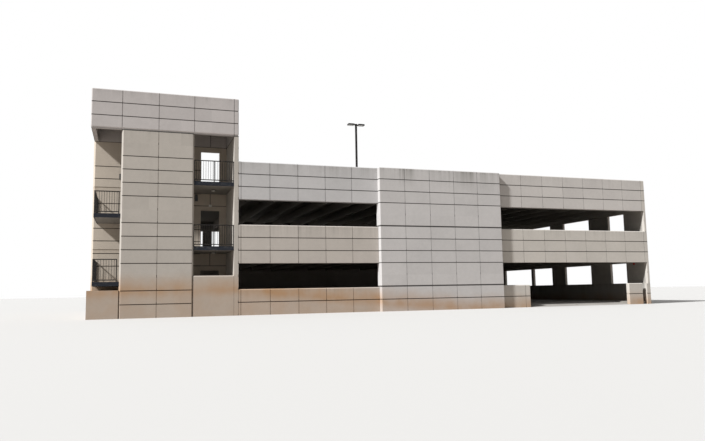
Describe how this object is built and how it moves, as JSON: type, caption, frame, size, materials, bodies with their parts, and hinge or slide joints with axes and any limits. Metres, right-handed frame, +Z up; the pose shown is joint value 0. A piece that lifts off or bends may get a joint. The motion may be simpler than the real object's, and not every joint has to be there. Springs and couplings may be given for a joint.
{
  "type": "multi storey car park",
  "caption": "Open precast concrete parking deck with an open corner stair tower, a car entrance under banded spandrel walls, and a lamp mast on its roof deck",
  "frame": {"origin": "bottom centre of the building's box, at the lowest paving level", "axes": "+X runs along the front to the right, +Y runs back from the front, +Z is up"},
  "size_m": [33.605, 18.52, 12.96],
  "materials": {
    "panel_concrete": "lightly sandblasted precast concrete with weather streaks",
    "deck_concrete": "broomed and trowelled concrete",
    "railing_paint": "dark satin paint",
    "lamp_paint": "dark bronze satin paint"
  },
  "bodies": {
    "root": {"tower_front_wall": "panel_concrete", "tower_side_wall": "panel_concrete", "tower_low_wall": "panel_concrete", "tower_base_walls": "panel_concrete", "tower_back_wall_left": "panel_concrete", "tower_back_wall_right": "panel_concrete", "tower_door_heads": "panel_concrete", "crown_front": "panel_concrete", "crown_back": "panel_concrete", "crown_left": "panel_concrete", "crown_right": "panel_concrete", "front_sill_wall": "panel_concrete", "front_spandrel": "panel_concrete", "front_parapet": "panel_concrete", "closed_wall": "panel_concrete", "entrance_spandrel": "panel_concrete", "entrance_parapet": "panel_concrete", "entrance_low_walls": "panel_concrete", "right_wall_sill": "panel_concrete", "right_wall_spandrel": "panel_concrete", "right_wall_parapet": "panel_concrete", "right_wall_piers": "panel_concrete", "left_wall_sill": "panel_concrete", "left_wall_spandrel": "panel_concrete", "left_wall_parapet": "panel_concrete", "left_wall_piers": "panel_concrete", "back_wall": "panel_concrete", "back_parapet": "panel_concrete", "back_wall_piers": "panel_concrete", "tower_roof": "deck_concrete", "closed_wall_ledges": "deck_concrete", "half_landing_lower": "deck_concrete", "half_landing_upper": "deck_concrete", "level_2_landing": "deck_concrete", "roof_landing": "deck_concrete", "stair_flight_1": "deck_concrete", "stair_flight_2": "deck_concrete", "stair_flight_3": "deck_concrete", "stair_flight_4": "deck_concrete", "ground_slab": "deck_concrete", "level_2_deck": "deck_concrete", "level_2_deck_behind_tower": "deck_concrete", "roof_deck": "deck_concrete", "roof_deck_behind_tower": "deck_concrete", "landing_channels": "railing_paint", "half_landing_lower_railing": "railing_paint", "half_landing_upper_railing": "railing_paint", "level_2_landing_railing": "railing_paint", "roof_landing_railing": "railing_paint", "stair_guards": "railing_paint", "tower_lights": "lamp_paint", "light_mast": "lamp_paint", "mast_lamps": "lamp_paint"}
  },
  "joints": []
}
